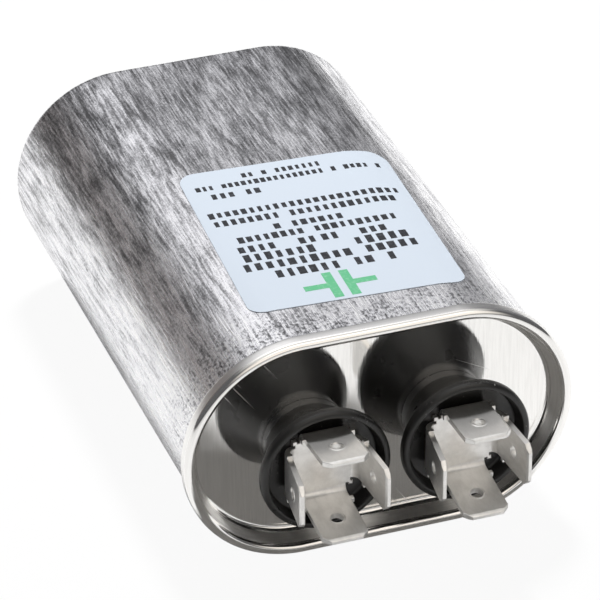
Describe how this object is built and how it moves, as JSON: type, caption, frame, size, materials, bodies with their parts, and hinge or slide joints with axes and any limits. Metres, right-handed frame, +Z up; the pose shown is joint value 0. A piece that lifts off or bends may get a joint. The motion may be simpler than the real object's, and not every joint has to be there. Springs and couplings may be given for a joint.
{
  "type": "motor run capacitor",
  "caption": "Oval metal-can motor run capacitor lying on its flat side, with a seamed lid, insulated quick-connect terminals and a bare wrap-round label.",
  "frame": {"origin": "centre of the bounding box's footprint, at the height where the rim rests", "axes": "+Y along the can from the terminals to its base, +X across the oval's width, +Z up through the labelled flat side"},
  "size_m": [0.0548, 0.0943, 0.0333],
  "materials": {
    "can": "drawn and brushed, with flecks and stains",
    "lid": "tin plated, bright",
    "compound": "matt",
    "label": "satin film, bare",
    "insulator": "glossy black moulding",
    "terminal": "tin plated, satin",
    "rivet": "tin plated",
    "gasket": "matt",
    "washer": "fibre",
    "lug": "tin plated brass",
    "plate": "fibre board",
    "lead": "tinned strip",
    "sleeve": "pressboard",
    "film": "wound metallised film",
    "core": "moulded core",
    "wrap": "clear film",
    "spray": "sprayed zinc, rough",
    "pad": "pressboard"
  },
  "bodies": {
    "root": {"can": "can", "lid": "lid", "seam_compound": "compound", "label": "label", "insulator_left": "insulator", "insulator_right": "insulator", "terminal_left": "terminal", "terminal_right": "terminal", "rivet_left": "rivet", "rivet_right": "rivet", "gasket_left": "gasket", "gasket_right": "gasket", "inner_washer_left": "washer", "inner_washer_right": "washer", "lug_left": "lug", "lug_right": "lug", "interrupter_plate": "plate", "lead_left": "lead", "lead_right": "lead", "insulating_sleeve": "sleeve", "winding": "film", "winding_core": "core", "winding_wrap": "wrap", "end_spray_front": "spray", "end_spray_back": "spray", "base_pad": "pad"}
  },
  "joints": []
}
